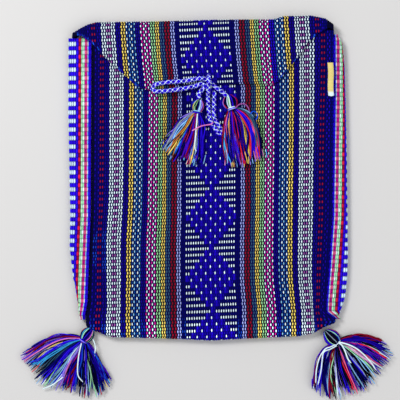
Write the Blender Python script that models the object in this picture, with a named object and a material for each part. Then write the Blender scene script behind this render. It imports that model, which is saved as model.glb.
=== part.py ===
import math

import bmesh
import bpy

MM = 0.001

# cloth
CLOTH = 2.0            # thickness of the woven panel
RIB = 0.35             # depth of the groove between two warp stripes
LAY_GAP = 0.35         # air between the flap and what it lies on
PANEL_X = 0.5          # centre line of the stripes
Y_MOUTH = 119.0        # top edge of the front, under the flap
Y_BOTTOM = -126.0      # where the fullness of the front ends, at the bottom
EDGE_Z = 8.4           # height of the front at its side seams
CROWN = 4.3            # how much higher the filled middle stands
FRONT_STEPS = 20
BACK_ROWS = (-108.0, -100.0, -70.0, -30.0, 104.0)
FLAP_STEPS = 7
FOLD_STEPS = 5

# gusset band
BAND = 1.5             # thickness of the gusset band
BAND_GAP = 0.5         # from the edge of the panel to the edge of the band
BAND_SLOPE = 0.14      # fall of the band from the seam to its own fold

# cord
CORD = 3.7             # diameter of the braided cord
CORD_GAP = 0.4
HOLE = 5.6             # holes worked in the cloth for the closing loop
HOLE_UPPER = (-1.8, 81.0)
HOLE_LOWER = (2.6, 68.6)

# warp stripes from the middle to the edge: name, width, folds of the rib relief
STRIPES = [
    ("brocade", 19.6, 3),
    ("navy", 3.4, 1),
    ("lavender", 3.7, 1),
    ("dark_red", 4.6, 1),
    ("teal", 3.7, 1),
    ("yellow", 3.4, 1),
    ("green", 3.9, 1),
    ("magenta", 7.9, 1),
    ("blue", 3.6, 1),
    ("steel", 7.6, 1),
    ("yellow", 4.2, 1),
    ("blue", 4.0, 1),
    ("white", 11.8, 2),
    ("blue", 3.8, 1),
    ("red", 3.9, 1),
    ("border", 6.4, 1),
]
HALF = sum(s[1] for s in STRIPES)

COLOURS = {
    "navy": (0.004, 0.004, 0.10),
    "border": (0.004, 0.006, 0.14),
    "lavender": (0.45, 0.50, 0.85),
    "dark_red": (0.20, 0.006, 0.028),
    "teal": (0.02, 0.13, 0.25),
    "yellow": (0.75, 0.52, 0.08),
    "green": (0.22, 0.60, 0.30),
    "magenta": (0.55, 0.02, 0.28),
    "blue": (0.012, 0.006, 0.42),
    "steel": (0.01, 0.09, 0.35),
    "white": (0.66, 0.82, 0.84),
    "red": (0.38, 0.015, 0.03),
    "pink": (0.80, 0.22, 0.25),
    "mint": (0.30, 0.70, 0.42),
    "cream": (0.80, 0.68, 0.30),
    "cord": (0.05, 0.012, 0.72),
    "cyan": (0.03, 0.35, 0.55),
}


def clean_scene():
    for obj in list(bpy.data.objects):
        bpy.data.objects.remove(obj, do_unlink=True)


def material(name, rough=0.85):
    found = bpy.data.materials.get(name)
    if found:
        return found
    mat = bpy.data.materials.new(name)
    mat.use_nodes = True
    shader = mat.node_tree.nodes["Principled BSDF"]
    colour = COLOURS[name]
    shader.inputs["Base Color"].default_value = (colour[0], colour[1], colour[2], 1.0)
    shader.inputs["Roughness"].default_value = rough
    return mat


def lerp(a, b, t):
    return a + (b - a) * t


def ease(t):
    t = min(1.0, max(0.0, t))
    return t * t * (3.0 - 2.0 * t)


def along(knots, v):
    """Piecewise straight line through (v, value) knots that rise in v."""
    if v <= knots[0][0]:
        return knots[0][1]
    for (v0, a), (v1, b) in zip(knots, knots[1:]):
        if v <= v1:
            return lerp(a, b, (v - v0) / (v1 - v0))
    return knots[-1][1]


# side edges of the front, by height on the pouch
LEFT_EDGE = [(-126, -100.6), (-110, -100.5), (-100, -98.6), (-30, -96.0), (119, -95.4)]
RIGHT_EDGE = [(-126, 92.6), (-100, 92.8), (-70, 95.0), (-30, 97.2), (119, 97.0)]
# outline of the bottom fold, of the fold at the top and of the flap's free edge, by place across
BOTTOM_LINE = [(-101.2, -115.8), (-98.0, -120.2), (-91.2, -121.6), (-86.4, -122.6), (-79.4, -124.2),
               (-58.8, -124.4), (-12.8, -126.4), (0.0, -128.6), (30.4, -128.2), (53.3, -127.4),
               (76.0, -126.2), (84.5, -124.4), (92.6, -120.2), (98.2, -117.0)]
TOP_LINE = [(-111.5, 116.4), (-104.8, 120.2), (-99, 123.2), (-92.8, 124.6), (-40, 125.2),
            (0, 126.6), (50, 127.0), (58, 129.2), (80, 129.4), (92, 126.8), (98.4, 122.4)]
FLAP_EDGE = [(-111.5, 114.8), (-103.6, 113.4), (-96, 108.0), (-82.4, 93.6), (-67, 79.8),
             (-58, 71.6), (-47, 69.6), (-20, 72.2), (0, 74.6), (49, 74.8), (53.6, 76.8),
             (64, 88.8), (73.6, 100.8), (77.6, 108.0), (87.2, 116.0), (93.6, 119.6), (98.4, 120.6)]


def front_x(w, y):
    """Place across of a warp thread on the front; w runs from -HALF to HALF."""
    share = (w + HALF) / (2.0 * HALF)
    return lerp(along(LEFT_EDGE, y), along(RIGHT_EDGE, y), share)


def flap_only_x(w, y):
    """The same thread on the flap, where the border spreads wider."""
    shift = -along([(60, 1.6), (126, 5.4)], y)
    inner = HALF - STRIPES[-1][1]
    if abs(w) <= inner:
        return PANEL_X + w + shift
    out = -111.5 if w < 0 else 98.4
    start = PANEL_X + math.copysign(inner, w) + shift
    return lerp(start, out, (abs(w) - inner) / (HALF - inner))


def top_surface(x, y):
    """Height of the front, and of the gussets beside it, seen from above."""
    left, right = along(LEFT_EDGE, y), along(RIGHT_EDGE, y)
    if x < left:
        return EDGE_Z - BAND_SLOPE * (left - x)
    if x > right:
        return EDGE_Z - BAND_SLOPE * (x - right)
    u = abs(2.0 * (x - left) / (right - left) - 1.0)
    low = ease((y - Y_BOTTOM) / 46.0)
    high = lerp(1.0, 0.8, ease((y - 70.0) / 50.0))
    ripple = 0.25 * math.sin(y / 17.0 + x / 31.0) * low
    return EDGE_Z + (CROWN * (1.0 - u ** 2.4) + ripple * (1.0 - u * u)) * low * high


def columns():
    """(w, crest, stripe, every second stripe edge) for each vertex column, left to right."""
    right = [(0.0, 1, "brocade", True)]
    w, crest = 0.0, 1
    for place, (name, width, count) in enumerate(STRIPES):
        for k in range(count):
            crest = 1 - crest
            last = k == count - 1
            right.append((w + width * (k + 1) / count, crest, name, last and place % 2 == 1))
        w += width
    left = [(-p, c, n, e) for p, c, n, e in reversed(right[1:])]
    return left + right


def panel_path(w, deep):
    """Points of one warp thread from the mouth round the bottom and over the flap.
    deep is how far below the outer face the points lie."""
    pts = []
    bottom = along(BOTTOM_LINE, front_x(w, Y_BOTTOM))
    for i in range(FRONT_STEPS):
        y = lerp(Y_MOUTH, bottom + EDGE_Z / 2.0, i / FRONT_STEPS)
        x = front_x(w, y)
        pts.append((x, y, top_surface(x, y) - deep))
    r = EDGE_Z / 2.0
    for i in range(FOLD_STEPS + 1):
        a = math.pi * i / FOLD_STEPS
        y = bottom + r - (r - deep) * math.sin(a)
        pts.append((front_x(w, Y_BOTTOM), y, r + (r - deep) * math.cos(a)))
    x_top = flap_only_x(w, 122.0)
    line = along(TOP_LINE, x_top)
    z_top = top_surface(max(x_top, -111.5), Y_MOUTH - 2.0) + CLOTH + LAY_GAP
    r = z_top / 2.0
    y_fold = line - r
    flat = deep if deep >= CLOTH else 0.0  # the back lies flat, with no relief
    for y in BACK_ROWS:
        pts.append((front_x(w, y), y, flat))
    for i in range(FOLD_STEPS + 1):
        a = math.pi * i / FOLD_STEPS
        y = y_fold + (r - deep) * math.sin(a)
        pts.append((x_top, y, r - (r - deep) * math.cos(a)))
    y_end = min(along(FLAP_EDGE, flap_only_x(w, 100.0)), y_fold - 0.8)
    y_end = min(along(FLAP_EDGE, flap_only_x(w, y_end)), y_fold - 0.8)
    for i in range(1, FLAP_STEPS + 1):
        t = i / FLAP_STEPS
        y = lerp(y_fold, y_end, t)
        x = lerp(x_top, flap_only_x(w, y), ease(t * 3.0))
        z = top_surface(x, min(y, Y_MOUTH)) + CLOTH + LAY_GAP
        z = lerp(z_top, z, ease(t * 2.0))
        pts.append((x, y, z - deep))
    return pts


def mesh_object(name, verts, faces, mats, slots, smooth=True):
    mesh = bpy.data.meshes.new(name)
    mesh.from_pydata([(x * MM, y * MM, z * MM) for x, y, z in verts], [], faces)
    for mat in mats:
        mesh.materials.append(material(mat))
    for poly, slot in zip(mesh.polygons, slots):
        poly.material_index = slot
        poly.use_smooth = smooth
    bm = bmesh.new()
    bm.from_mesh(mesh)
    bmesh.ops.recalc_face_normals(bm, faces=bm.faces)
    bm.to_mesh(mesh)
    bm.free()
    obj = bpy.data.objects.new(name, mesh)
    bpy.context.scene.collection.objects.link(obj)
    return obj


def make_panel():
    fine = columns()
    coarse = [column for column in fine if column[3]]
    outer = [panel_path(w, 0.0 if crest else RIB) for w, crest, _, _ in fine]
    inner = [panel_path(w, CLOTH) for w, _, _, _ in coarse]
    rows = len(outer[0])
    nf, nc = len(fine), len(coarse)
    verts = [p for col in outer for p in col] + [p for col in inner for p in col]
    base = nf * rows
    mats = ["navy", "border", "lavender", "dark_red", "teal", "yellow", "green", "magenta",
            "blue", "steel", "white", "red"]
    faces, slots = [], []
    motif = (0.75, 0.25, 0.25, 0.75)
    for c in range(nf - 1):
        centre = 0.5 * (fine[c][0] + fine[c + 1][0])
        name = fine[c + 1][2] if centre > 0 else fine[c][2]
        reach = 1.0 - abs(centre) / STRIPES[0][1]
        for r in range(rows - 1):
            faces.append((c * rows + r, c * rows + r + 1, (c + 1) * rows + r + 1, (c + 1) * rows + r))
            shade = name
            if name == "brocade":
                shade = "white" if reach < motif[r % 4] * 0.8 else "blue"
            slots.append(mats.index(shade))
    for c in range(nc - 1):
        for r in range(rows - 1):
            a, b = base + c * rows + r, base + (c + 1) * rows + r
            faces.append((a, b, b + 1, a + 1))
            slots.append(mats.index("blue"))
    for r in range(rows - 1):
        for col_o, col_i in ((0, 0), (nf - 1, nc - 1)):
            a, b = col_o * rows + r, base + col_i * rows + r
            quad = (a, b, b + 1, a + 1)
            faces.append(quad if col_o == 0 else quad[::-1])
            slots.append(mats.index("border"))
    for r in (0, rows - 1):
        for c in range(nc - 1):
            w0, w1 = coarse[c][0], coarse[c + 1][0]
            run = [k for k in range(nf) if w0 - 1e-6 <= fine[k][0] <= w1 + 1e-6]
            ring = [k * rows + r for k in run]
            ring += [base + (c + 1) * rows + r, base + c * rows + r]
            faces.append(tuple(ring if r == 0 else ring[::-1]))
            slots.append(mats.index("border"))
    panel = mesh_object("main_panel", verts, faces, mats, slots)
    for k, (x, y) in enumerate((HOLE_UPPER, HOLE_LOWER)):
        cutter = round_cutter("hole_cutter_%d" % k, x, y, HOLE, 3.6, 30.0)
        cut = panel.modifiers.new("hole_%d" % k, "BOOLEAN")
        cut.operation = "DIFFERENCE"
        cut.solver = "EXACT"
        cut.object = cutter
    return panel


def round_cutter(name, x, y, size, z0, z1):
    bm = bmesh.new()
    bmesh.ops.create_cone(bm, cap_ends=True, segments=14, radius1=size / 2 * MM,
                          radius2=size / 2 * MM, depth=(z1 - z0) * MM)
    bmesh.ops.translate(bm, verts=bm.verts, vec=(x * MM, y * MM, (z0 + z1) / 2 * MM))
    mesh = bpy.data.meshes.new(name)
    bm.to_mesh(mesh)
    bm.free()
    obj = bpy.data.objects.new(name, mesh)
    bpy.context.scene.collection.objects.link(obj)
    obj.hide_render = True
    obj.display_type = "WIRE"
    return obj


# how far the gusset's own fold stands outside the seam, by height
LEFT_REACH = [(-114, 4.6), (-106, 7.2), (-97, 9.6), (-88, 11.2), (-80, 13.4), (-56, 17.0),
              (0, 18.0), (54, 18.8), (110, 18.6)]
RIGHT_REACH = [(-114, 6.6), (-105, 11.2), (-94, 14.2), (-80, 15.6), (-60, 14.8), (-30, 13.0),
               (56, 11.4), (100, 9.8), (114, 7.6), (116, 6.4)]


def make_gusset(name, side, reach_knots, y_low, y_high, steps):
    """A band folded lengthwise, its fold outwards, between the front and the back."""
    edge = LEFT_EDGE if side < 0 else RIGHT_EDGE
    rows = []
    for i in range(steps + 1):
        y = lerp(y_low, y_high, i / steps)
        seam = along(edge, y)
        reach = along(reach_knots, y)
        low = lerp(0.25, CLOTH + LAY_GAP, ease((y - 84.0) / 18.0))

        def top(d):
            return EDGE_Z - BAND_SLOPE * d

        tip = top(reach)
        mid = 0.5 * (tip + low)
        deep_d = max(reach - 2.6, BAND_GAP + 1.2)
        z_in_low = low + BAND
        z_in_top = max(top(deep_d) - BAND, z_in_low + 0.35)
        section = []
        for k in range(7):
            d = lerp(BAND_GAP, reach - 1.3, k / 6.0)
            section.append((d, top(d) - (0.0 if k % 2 == 0 else 0.25)))
        section += [(reach - 0.2, lerp(mid, tip, 0.6)), (reach, mid), (reach - 0.2, lerp(mid, low, 0.6)),
                    (reach - 1.3, low), (lerp(BAND_GAP, reach, 0.45), low), (BAND_GAP, low)]
        outer_count = len(section)
        section += [(BAND_GAP, z_in_low), (deep_d - 0.9, z_in_low), (deep_d, 0.5 * (z_in_low + z_in_top)),
                    (deep_d - 0.9, z_in_top), (BAND_GAP, top(BAND_GAP) - BAND)]
        rows.append([(seam + side * d, y, z) for d, z in section])
    count = len(rows[0])
    verts = [p for row in rows for p in row]
    mats = ["blue", "magenta", "mint", "red", "white"]
    upper = ["blue", "magenta", "mint", "red", "blue", "white"]
    faces, slots = [], []
    for i in range(steps):
        for k in range(count):
            n = (k + 1) % count
            faces.append((i * count + k, i * count + n, (i + 1) * count + n, (i + 1) * count + k))
            shade = upper[k] if k < 6 else ("blue" if (i % 2 or k >= outer_count - 1) else "white")
            if k == 5:
                shade = "white" if i % 2 else "blue"
            slots.append(mats.index(shade))
    for i in (0, steps):
        o = i * count
        top_n = outer_count
        # upper leg, fold and lower leg of the end, as strips between outer and inner line
        inner_line = [o + k for k in range(count - 1, top_n - 1, -1)]
        outer_line = [o + k for k in range(top_n)]
        cut = [0, 5, 7, 9, 10, top_n - 1]
        strips = []
        strips.append(outer_line[0:6] + [inner_line[1], inner_line[0]])
        strips.append(outer_line[5:9] + [inner_line[2], inner_line[1]])
        strips.append(outer_line[8:11] + [inner_line[3], inner_line[2]])
        strips.append(outer_line[10:top_n] + [inner_line[4], inner_line[3]])
        for strip in strips:
            faces.append(tuple(strip if i else strip[::-1]))
            slots.append(mats.index("blue"))
    return mesh_object(name, verts, faces, mats, slots)


def make_label():
    """A short tape folded on itself, its two ends caught in the right seam."""
    x0, x1, y0, y1, thick, gap = 93.0, 97.6, 66.6, 92.6, 0.7, 0.5
    steps = 6
    rows = []
    for i in range(steps + 1):
        t = i / steps
        y = lerp(y0, y1, t)
        lean = lerp(0.9, 0.0, t)
        base = max(top_surface(x0 + lean, y), top_surface(x1, y), EDGE_Z) + 0.45
        far, near = x0 + lean, x1 + 0.8 * lean
        if i == 0:
            far += 1.0
        section = [(near, base), (far + 0.5, base), (far, base + thick + gap / 2),
                   (far + 0.5, base + 2 * thick + gap), (near, base + 2 * thick + gap),
                   (near, base + thick + gap), (far + 1.1, base + thick + gap),
                   (far + 0.85, base + thick + gap / 2), (far + 1.1, base + thick), (near, base + thick)]
        rows.append([(x, y, z) for x, z in section])
    count = len(rows[0])
    verts = [p for row in rows for p in row]
    faces = []
    for i in range(steps):
        for k in range(count):
            n = (k + 1) % count
            faces.append((i * count + k, i * count + n, (i + 1) * count + n, (i + 1) * count + k))
    for i in (0, steps):
        o = i * count
        for strip in ((0, 1, 8, 9), (1, 2, 7, 8), (2, 3, 6, 7), (3, 4, 5, 6)):
            ring = [o + k for k in strip]
            faces.append(tuple(ring if i else ring[::-1]))
    return mesh_object("side_label", verts, faces, ["cream"], [0] * len(faces), smooth=False)


def smooth_path(points, spacing):
    """A rounded line through the points, with points at an even spacing."""
    fine = []
    n = len(points)
    for i in range(n - 1):
        p0 = points[max(i - 1, 0)]
        p1, p2 = points[i], points[i + 1]
        p3 = points[min(i + 2, n - 1)]
        for k in range(12):
            t = k / 12.0
            fine.append(tuple(0.5 * ((2 * b) + (c - a) * t + (2 * a - 5 * b + 4 * c - d) * t * t
                                     + (3 * b - a - 3 * c + d) * t ** 3)
                              for a, b, c, d in zip(p0, p1, p2, p3)))
    fine.append(points[-1])
    length = [0.0]
    for a, b in zip(fine, fine[1:]):
        length.append(length[-1] + math.dist(a, b))
    count = max(2, round(length[-1] / spacing))
    out, k = [], 0
    for i in range(count + 1):
        want = length[-1] * i / count
        while k < len(length) - 2 and length[k + 1] < want:
            k += 1
        step = length[k + 1] - length[k]
        t = (want - length[k]) / step if step > 0 else 0.0
        out.append(tuple(lerp(a, b, t) for a, b in zip(fine[k], fine[k + 1])))
    return out


def make_cord(name, points, size, spacing, mat):
    path = smooth_path(points, spacing)
    curve = bpy.data.curves.new(name, "CURVE")
    curve.dimensions = "3D"
    curve.bevel_depth = size / 2 * MM
    curve.bevel_resolution = 2
    curve.use_fill_caps = True
    spline = curve.splines.new("POLY")
    spline.points.add(len(path) - 1)
    for point, (x, y, z) in zip(spline.points, path):
        point.co = (x * MM, y * MM, z * MM, 1.0)
    curve.materials.append(material(mat, 0.6))
    obj = bpy.data.objects.new(name, curve)
    bpy.context.scene.collection.objects.link(obj)
    return obj


def on_front(x, y, extra=0.0):
    """Centre height of a cord that lies on the front."""
    return top_surface(x, y) + CORD_GAP + CORD / 2 + extra


def on_flap(x, y, extra=0.0):
    return top_surface(x, y) + CLOTH + LAY_GAP + CORD_GAP + CORD / 2 + extra


def tassel(name, head, neck, reach_knots, ground, tall, mats, locks=14, spread=1.0):
    """A folded bundle of yarn: a round head, a tied neck and a fan of uneven locks.
    reach_knots lists (angle in degrees, length) from one side of the fan to the other."""
    hx, hy = head
    nx, ny = neck
    length = math.hypot(nx - hx, ny - hy)
    ax, ay = (nx - hx) / length, (ny - hy) / length
    px, py = -ay, ax
    a0, a1 = reach_knots[0][0], reach_knots[-1][0]
    across = 2 * locks
    head_len = length + spread * 5.0
    rows = []

    # head: from its round top to the neck
    for s, half, high, low in ((0.0, 1.2, 0.50, 0.35), (0.10, 3.2, 0.78, 0.12), (0.34, 4.9, 1.0, 0.0),
                               (0.60, 4.7, 1.0, 0.0), (0.80, 3.0, 0.76, 0.24)):
        row = []
        for k in range(across + 1):
            t = 2.0 * k / across - 1.0
            off = half * spread * t
            cx = nx - ax * head_len * (1.0 - s) + px * off
            cy = ny - ay * head_len * (1.0 - s) + py * off
            arch = math.sqrt(max(0.0, 1.0 - t * t))
            g = ground(cx, cy)
            mid = lerp(low, high, 0.5) * tall
            up = (high - low) * 0.5 * tall
            wave = 0.18 if k % 2 else 0.0
            row.append((cx, cy, g + mid + up * max(arch, 0.12) - wave, g + mid - up * max(arch, 0.12)))
        rows.append(row)

    # neck and skirt
    for s, high, low in ((0.0, 0.72, 0.30), (0.10, 0.74, 0.26), (0.24, 0.80, 0.06), (0.6, 0.70, 0.0),
                         (1.0, 0.34, 0.0)):
        row = []
        for k in range(across + 1):
            t = 2.0 * k / across - 1.0
            ang = lerp(a0, a1, (t + 1.0) / 2.0)
            far = along(reach_knots, ang)
            if k % 2 == 0:
                far *= 0.93
            off = 2.5 * spread * t
            dist = far * s
            rad = math.radians(ang)
            hold = math.exp(-dist / 5.0)
            dx, dy = math.cos(rad), math.sin(rad)
            cx = nx + dx * dist * (1.0 - 0.5 * hold) + px * off * (0.35 + 0.65 * hold) + ax * dist * 0.5 * hold
            cy = ny + dy * dist * (1.0 - 0.5 * hold) + py * off * (0.35 + 0.65 * hold) + ay * dist * 0.5 * hold
            g = ground(cx, cy)
            arch = lerp(math.sqrt(max(0.0, 1.0 - t * t)), (1.0 - abs(t) ** 5), ease(s * 3.0))
            wave = 0.0 if k % 2 else 0.9 * ease(s * 4.0)
            mid = lerp(low, high, 0.5) * tall
            up = (high - low) * 0.5 * tall
            if s < 0.2:
                z1 = g + mid + up * max(arch, 0.12)
                z0 = g + mid - up * max(arch, 0.12)
            else:
                z0 = g + low * tall
                z1 = max(z0 + 0.8, g + tall * lerp(0.3, high, arch) - wave)
            row.append((cx, cy, z1, z0))
        rows.append(row)

    verts, faces, slots = [], [], []
    n = across + 1
    for row in rows:
        verts += [(x, y, z) for x, y, z, _ in row]
        verts += [(x, y, z) for x, y, _, z in row]
    for i in range(len(rows) - 1):
        a, b = i * 2 * n, (i + 1) * 2 * n
        for k in range(across):
            shade = (k * 5 + k // 3) % len(mats)
            faces.append((a + k, a + k + 1, b + k + 1, b + k))
            slots.append(shade)
            faces.append((a + n + k, b + n + k, b + n + k + 1, a + n + k + 1))
            slots.append(shade)
        faces.append((a, b, b + n, a + n))
        slots.append(0)
        faces.append((a + across, a + n + across, b + n + across, b + across))
        slots.append(0)
    for i in (0, len(rows) - 1):
        a = i * 2 * n
        for k in range(across):
            quad = (a + k, a + n + k, a + n + k + 1, a + k + 1)
            faces.append(quad if i == 0 else quad[::-1])
            slots.append(0)
    return mesh_object(name, verts, faces, mats, slots)


def binding(name, neck, axis, ground, tall, mat, spread=1.0):
    """A few turns of yarn pulled tight round the neck of a tassel, as one band."""
    nx, ny = neck
    ax, ay = axis
    px, py = -ay, ax
    wide, high, wall = 2.5 * spread + 1.25, 0.26 * tall + 0.8, 0.8
    mid = 0.51 * tall
    around, verts, faces = 14, [], []
    half = 0.9 * spread
    g = ground(nx, ny)
    lines = ((-half, 0.0), (-half * 0.5, wall), (half * 0.5, wall), (half, 0.0))
    for k in range(around):
        a = 2 * math.pi * k / around
        for s, out in lines:
            off = (wide + out) * math.cos(a)
            z = max(0.05, g + mid + (high + out) * math.sin(a))
            verts.append((nx + ax * (s - 0.6) + px * off, ny + ay * (s - 0.6) + py * off, z))
    count = len(lines)
    for k in range(around):
        a, b = k * count, ((k + 1) % around) * count
        for i in range(count):
            j = (i + 1) % count
            faces.append((a + i, a + j, b + j, b + i))
    return mesh_object(name, verts, faces, [mat], [0] * len(faces))


clean_scene()
make_panel()
make_gusset("gusset_left", -1, LEFT_REACH, -114.0, 112.6, 16)
make_gusset("gusset_right", 1, RIGHT_REACH, -113.0, 115.4, 16)
make_label()


def floor_line(x, y):
    return 0.0


def front_line(x, y):
    return top_surface(x, y) + 0.5


# fans of the four tassels: direction in degrees and length of the yarn there
TIE_LEFT_NECK, TIE_LEFT_HEAD = (-11.4, 52.4), (-10.0, 58.0)
TIE_LEFT_FAN = [(222, 36), (226, 40), (236, 40), (245, 43), (255, 38), (262, 42), (268, 42), (275, 40)]
TIE_RIGHT_NECK, TIE_RIGHT_HEAD = (16.6, 55.4), (15.0, 61.0)
TIE_RIGHT_FAN = [(264, 43), (270, 46), (276, 46), (285, 46), (296, 46), (304, 46)]
LOW_LEFT_NECK, LOW_LEFT_HEAD = (-102.8, -130.8), (-98.4, -124.6)
LOW_LEFT_FAN = [(187, 44), (198, 53), (206, 48), (222, 50), (237, 47), (249, 43), (265, 44.6),
                (281, 47), (290, 43.7), (305, 41)]
LOW_RIGHT_NECK, LOW_RIGHT_HEAD = (101.0, -132.0), (94.7, -125.5)
LOW_RIGHT_FAN = [(238, 40), (247, 42.3), (260, 44.6), (271, 45), (284, 42.6), (299, 44), (309, 42.7),
                 (323, 43), (337, 44), (351, 44), (366, 39)]


def unit(a, b):
    size = math.hypot(b[0] - a[0], b[1] - a[1])
    return (b[0] - a[0]) / size, (b[1] - a[1]) / size


tassel("tassel_tie_left", TIE_LEFT_HEAD, TIE_LEFT_NECK, TIE_LEFT_FAN, front_line, 7.4,
       ["cord", "white", "dark_red", "cyan"], locks=9, spread=0.9)
tassel("tassel_tie_right", TIE_RIGHT_HEAD, TIE_RIGHT_NECK, TIE_RIGHT_FAN, front_line, 7.4,
       ["cord", "cyan", "white", "magenta"], locks=9, spread=0.95)
tassel("tassel_corner_left", LOW_LEFT_HEAD, LOW_LEFT_NECK, LOW_LEFT_FAN, floor_line, 9.0,
       ["dark_red", "cord", "cyan", "white", "mint"], locks=12, spread=1.0)
tassel("tassel_corner_right", LOW_RIGHT_HEAD, LOW_RIGHT_NECK, LOW_RIGHT_FAN, floor_line, 9.0,
       ["cord", "white", "magenta", "navy", "mint"], locks=12, spread=1.0)
binding("binding_tie_left", TIE_LEFT_NECK, unit(TIE_LEFT_HEAD, TIE_LEFT_NECK), front_line, 7.4, "cord", 0.9)
binding("binding_tie_right", TIE_RIGHT_NECK, unit(TIE_RIGHT_HEAD, TIE_RIGHT_NECK), front_line, 7.4,
        "lavender", 0.95)
binding("binding_corner_left", LOW_LEFT_NECK, unit(LOW_LEFT_HEAD, LOW_LEFT_NECK), floor_line, 9.0, "cord")
binding("binding_corner_right", LOW_RIGHT_NECK, unit(LOW_RIGHT_HEAD, LOW_RIGHT_NECK), floor_line, 9.0, "navy")

# the tie cord: left tassel, over itself, the wide loop, under the closing loop, right tassel
tie = [
    (-9.2, 63.6, on_front(-9, 63, 1.6)),
    (-8.6, 66.4, on_front(-9, 66, 3.6)),
    (-7.6, 69.6, on_flap(-7, 70, 4.0)),
    (-6.9, 73.6, on_flap(-7, 74, 4.4)),
    (-7.0, 77.0, on_flap(-7, 77, 3.4)),
    (-9.8, 79.4, on_flap(-10, 79, 1.4)),
    (-14.0, 79.0, on_flap(-14, 79, 0.2)),
    (-18.9, 77.4, on_flap(-19, 77)),
    (-25.6, 76.8, on_flap(-26, 77)),
    (-32.6, 76.5, on_flap(-33, 76)),
    (-39.4, 76.0, on_flap(-39, 76)),
    (-44.8, 74.6, on_flap(-45, 75)),
    (-47.0, 71.8, on_flap(-47, 72)),
    (-44.8, 69.0, on_flap(-45, 70)),
    (-39.4, 69.0, on_flap(-39, 70)),
    (-34.2, 69.4, on_flap(-34, 70)),
    (-27.8, 70.2, on_flap(-28, 71)),
    (-21.9, 71.0, on_flap(-22, 72)),
    (-16.6, 71.9, on_flap(-17, 73)),
    (-11.2, 72.9, on_flap(-11, 73)),
    (-6.4, 74.6, on_flap(-6, 75)),
    (-1.6, 75.4, on_flap(-2, 75)),
    (3.2, 75.2, on_flap(3, 75)),
    (7.2, 73.2, on_flap(7, 74)),
    (9.8, 70.0, on_front(10, 70, 2.0)),
    (11.4, 67.0, on_front(11, 66, 1.6)),
]
make_cord("tie_cord", tie, CORD, 4.6, "cord")

# the closing loop: over the tie cord, down through the flap and the front, up again below
ux, uy = HOLE_UPPER
lx, ly = HOLE_LOWER
loop = [
    (lx - 0.3, ly + 0.6, 5.6),
    (lx, ly, 9.0),
    (lx, ly, 13.2),
    (lx, ly - 1.6, on_front(lx, ly - 2, 1.3)),
    (lx - 0.1, ly - 5.0, on_front(lx, ly - 5, 0.6)),
    (2.3, 60.0, on_front(2, 60)),
    (2.2, 54.0, on_front(2, 54)),
    (2.6, 48.4, on_front(3, 48)),
    (4.6, 43.6, on_front(5, 43)),
    (7.0, 39.4, on_front(7, 39)),
    (6.9, 35.6, on_front(7, 36)),
    (3.4, 35.8, on_front(3, 36)),
    (0.6, 39.8, on_front(0, 40)),
    (-1.6, 45.4, on_front(-2, 45)),
    (-2.3, 52.0, on_front(-2, 52)),
    (-2.4, 58.0, on_front(-2, 58)),
    (-2.4, 64.0, on_front(-2, 64, 0.4)),
    (-2.3, 69.0, on_flap(-2, 69, 1.2)),
    (-2.1, 72.6, on_flap(-2, 73, 3.8)),
    (-1.9, 75.8, on_flap(-2, 76, 4.4)),
    (-1.8, 79.0, on_flap(-2, 79, 3.4)),
    (ux, uy + 0.2, on_flap(ux, uy, 0.2)),
    (ux, uy, 13.0),
    (ux, uy, 9.0),
    (ux, uy - 0.6, 5.6),
]
make_cord("closing_loop", loop, CORD - 0.1, 4.2, "cord")
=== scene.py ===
import bpy
import bmesh
import math
import random
import numpy as np
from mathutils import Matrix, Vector


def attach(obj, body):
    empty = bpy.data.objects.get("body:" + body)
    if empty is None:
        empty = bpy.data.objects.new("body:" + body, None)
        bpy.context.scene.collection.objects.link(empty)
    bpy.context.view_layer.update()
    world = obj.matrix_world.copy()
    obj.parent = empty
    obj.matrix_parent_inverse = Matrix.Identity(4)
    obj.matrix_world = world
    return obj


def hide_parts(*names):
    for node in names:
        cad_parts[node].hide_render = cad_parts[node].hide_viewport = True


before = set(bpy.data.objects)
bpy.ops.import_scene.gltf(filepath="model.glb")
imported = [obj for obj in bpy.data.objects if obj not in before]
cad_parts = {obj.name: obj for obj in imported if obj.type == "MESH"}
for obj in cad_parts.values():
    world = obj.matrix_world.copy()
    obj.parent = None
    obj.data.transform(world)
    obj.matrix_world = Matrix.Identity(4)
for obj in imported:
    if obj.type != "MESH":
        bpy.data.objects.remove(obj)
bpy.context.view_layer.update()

MM = 0.001

# The pouch's sizes, in millimetres

EDGE_Z = 8.4              # height of the front at its side seams
CROWN = 4.3               # how much the front swells in the middle
CLOTH = 2.0               # thickness of the cloth
LAY_GAP = 0.35            # air between the flap and the front
FLAP_MIDDLE = 0.5         # sideways place of the flap's middle stripe
CORD = 3.7                # thickness of the tie cord
SEAM = 0.5                # gap between the front and a side band
BAND_SLOPE = 0.14         # fall of a side band for each millimetre out from its seam
BAND_PICK = 3.44          # length of one pick of a side band
TILT = 0.042              # slope of the picks across the cloth
CLOTH_LOW, CLOTH_HIGH = -126, 119     # where the front's side edges end
FLAP_LEFT, FLAP_RIGHT = -111.5, 98.4  # the flap's far corners
BORDER = 6.4              # width of the border stripe

# Stripe, width and number of warp pairs, from the brocade outwards.
STRIPES = [("navy", 3.4, 2), ("lavender", 3.7, 2), ("dark_red", 4.6, 2), ("teal", 3.7, 2),
           ("yellow", 3.4, 2), ("green", 3.9, 2), ("magenta", 7.9, 4), ("blue", 3.6, 2),
           ("steel", 7.6, 4), ("yellow", 4.2, 2), ("blue", 4.0, 2), ("white", 11.8, 6),
           ("blue", 3.8, 2), ("red", 3.9, 2), ("border", BORDER, 3)]
BROCADE = (39.2, 21)      # width and pairs of the patterned middle
HALF = BROCADE[0] / 2 + sum(width for _, width, _ in STRIPES)

# Side seams as (y, x), the other edges as (x, y), and the bands' reach as (y, distance out).

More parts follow.
